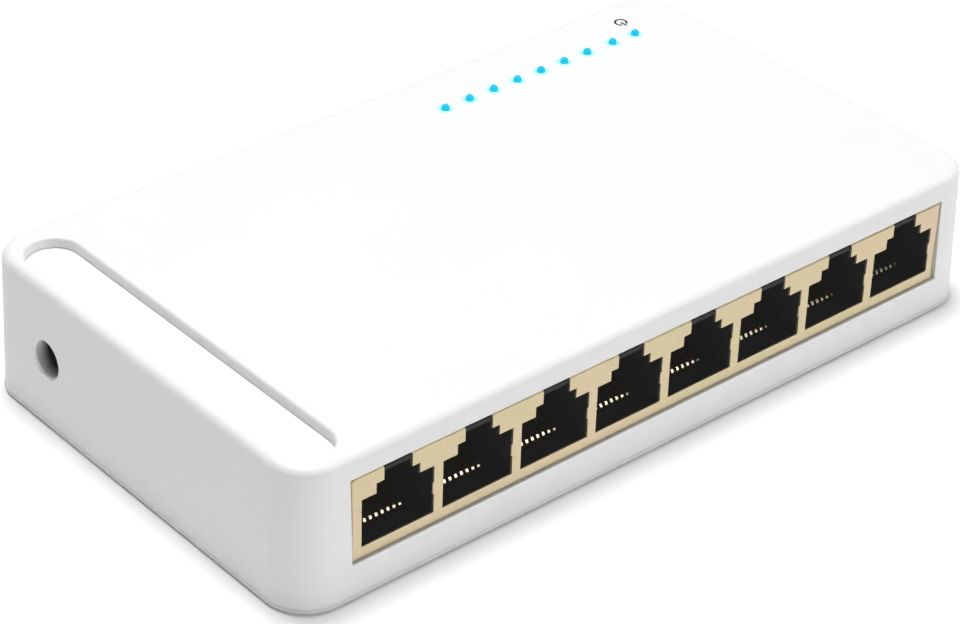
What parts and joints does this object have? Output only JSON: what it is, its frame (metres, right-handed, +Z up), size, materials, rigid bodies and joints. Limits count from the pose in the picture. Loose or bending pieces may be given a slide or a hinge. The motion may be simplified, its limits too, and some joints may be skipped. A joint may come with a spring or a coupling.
{
  "type": "desktop network switch",
  "caption": "Small rectangular white desktop network switch with a row of shielded sockets along the front, a side power inlet, a sunken strip and a line of lit dots on top.",
  "frame": {"origin": "on the standing plane, under the middle of the case", "axes": "+X along the row of sockets, to the right for someone facing them; -Y out of the sockets; +Z up; the power inlet faces -X"},
  "size_m": [0.1316, 0.0746, 0.0242],
  "materials": {
    "case_white": "fine satin moulded plastic, white",
    "shield_plate": "stamped sheet, pale gold-beige plating",
    "socket_black": "glass-filled black nylon",
    "contact_gold": "gold-plated spring strip",
    "tinned_metal": "bright tin plating",
    "board_green": "green solder mask",
    "chip_black": "moulded black epoxy",
    "capacitor_sleeve": "shrink sleeve",
    "chip_ceramic": "fired ceramic",
    "light_guide": "clear acrylic lit cyan",
    "led_package": "white light package",
    "screw_steel": "zinc-plated steel",
    "foot_rubber": "soft self-adhesive rubber"
  },
  "bodies": {
    "chassis": {"top_cover": "case_white", "base_cover": "case_white", "port_shield": "shield_plate", "port_housing_1": "socket_black", "port_housing_2": "socket_black", "port_housing_3": "socket_black", "port_housing_4": "socket_black", "port_housing_5": "socket_black", "port_housing_6": "socket_black", "port_housing_7": "socket_black", "port_housing_8": "socket_black", "contact_carrier_1": "socket_black", "contact_carrier_2": "socket_black", "contact_carrier_3": "socket_black", "contact_carrier_4": "socket_black", "contact_carrier_5": "socket_black", "contact_carrier_6": "socket_black", "contact_carrier_7": "socket_black", "contact_carrier_8": "socket_black", "power_jack_housing": "socket_black", "contact_tails": "contact_gold", "power_jack_pin": "tinned_metal", "power_jack_terminals": "tinned_metal", "transformer_leads": "tinned_metal", "switch_chip_leads": "tinned_metal", "crystal": "tinned_metal", "circuit_board": "board_green", "switch_chip": "chip_black", "power_regulator": "chip_black", "power_inductor": "chip_black", "transformer_1": "chip_black", "transformer_2": "chip_black", "transformer_3": "chip_black", "transformer_4": "chip_black", "input_capacitor": "capacitor_sleeve", "output_capacitor": "capacitor_sleeve", "chip_components": "chip_ceramic", "light_guide": "light_guide", "indicator_led_1": "led_package", "indicator_led_2": "led_package", "indicator_led_3": "led_package", "indicator_led_4": "led_package", "indicator_led_5": "led_package", "indicator_led_6": "led_package", "indicator_led_7": "led_package", "indicator_led_8": "led_package", "indicator_led_9": "led_package", "case_screws": "screw_steel", "board_screws": "screw_steel", "rubber_feet": "foot_rubber"},
    "contacts_1": {"contact_set_1": "contact_gold"},
    "contacts_2": {"contact_set_2": "contact_gold"},
    "contacts_3": {"contact_set_3": "contact_gold"},
    "contacts_4": {"contact_set_4": "contact_gold"},
    "contacts_5": {"contact_set_5": "contact_gold"},
    "contacts_6": {"contact_set_6": "contact_gold"},
    "contacts_7": {"contact_set_7": "contact_gold"},
    "contacts_8": {"contact_set_8": "contact_gold"},
    "inlet_spring": {"power_jack_leaf": "tinned_metal"}
  },
  "joints": [
    {"name": "contact_press_1", "type": "hinge", "parent": "chassis", "child": "contacts_1", "pos_m": [-0.0482, -0.0319, 0.00775], "axis": [-1, 0, 0], "range_deg": [0, 14], "stiffness_Nm_per_rad": 0.32},
    {"name": "contact_press_2", "type": "hinge", "parent": "chassis", "child": "contacts_2", "pos_m": [-0.03422, -0.0319, 0.00775], "axis": [-1, 0, 0], "range_deg": [0, 14], "stiffness_Nm_per_rad": 0.32},
    {"name": "contact_press_3", "type": "hinge", "parent": "chassis", "child": "contacts_3", "pos_m": [-0.02025, -0.0319, 0.00775], "axis": [-1, 0, 0], "range_deg": [0, 14], "stiffness_Nm_per_rad": 0.32},
    {"name": "contact_press_4", "type": "hinge", "parent": "chassis", "child": "contacts_4", "pos_m": [-0.00628, -0.0319, 0.00775], "axis": [-1, 0, 0], "range_deg": [0, 14], "stiffness_Nm_per_rad": 0.32},
    {"name": "contact_press_5", "type": "hinge", "parent": "chassis", "child": "contacts_5", "pos_m": [0.00768, -0.0319, 0.00775], "axis": [-1, 0, 0], "range_deg": [0, 14], "stiffness_Nm_per_rad": 0.32},
    {"name": "contact_press_6", "type": "hinge", "parent": "chassis", "child": "contacts_6", "pos_m": [0.02166, -0.0319, 0.00775], "axis": [-1, 0, 0], "range_deg": [0, 14], "stiffness_Nm_per_rad": 0.32},
    {"name": "contact_press_7", "type": "hinge", "parent": "chassis", "child": "contacts_7", "pos_m": [0.03562, -0.0319, 0.00775], "axis": [-1, 0, 0], "range_deg": [0, 14], "stiffness_Nm_per_rad": 0.32},
    {"name": "contact_press_8", "type": "hinge", "parent": "chassis", "child": "contacts_8", "pos_m": [0.0496, -0.0319, 0.00775], "axis": [-1, 0, 0], "range_deg": [0, 14], "stiffness_Nm_per_rad": 0.32},
    {"name": "inlet_spring_press", "type": "hinge", "parent": "chassis", "child": "inlet_spring", "pos_m": [-0.05415, 0.02135, 0.00855], "axis": [0, -1, 0], "range_deg": [0, 5], "stiffness_Nm_per_rad": 0.14}
  ]
}
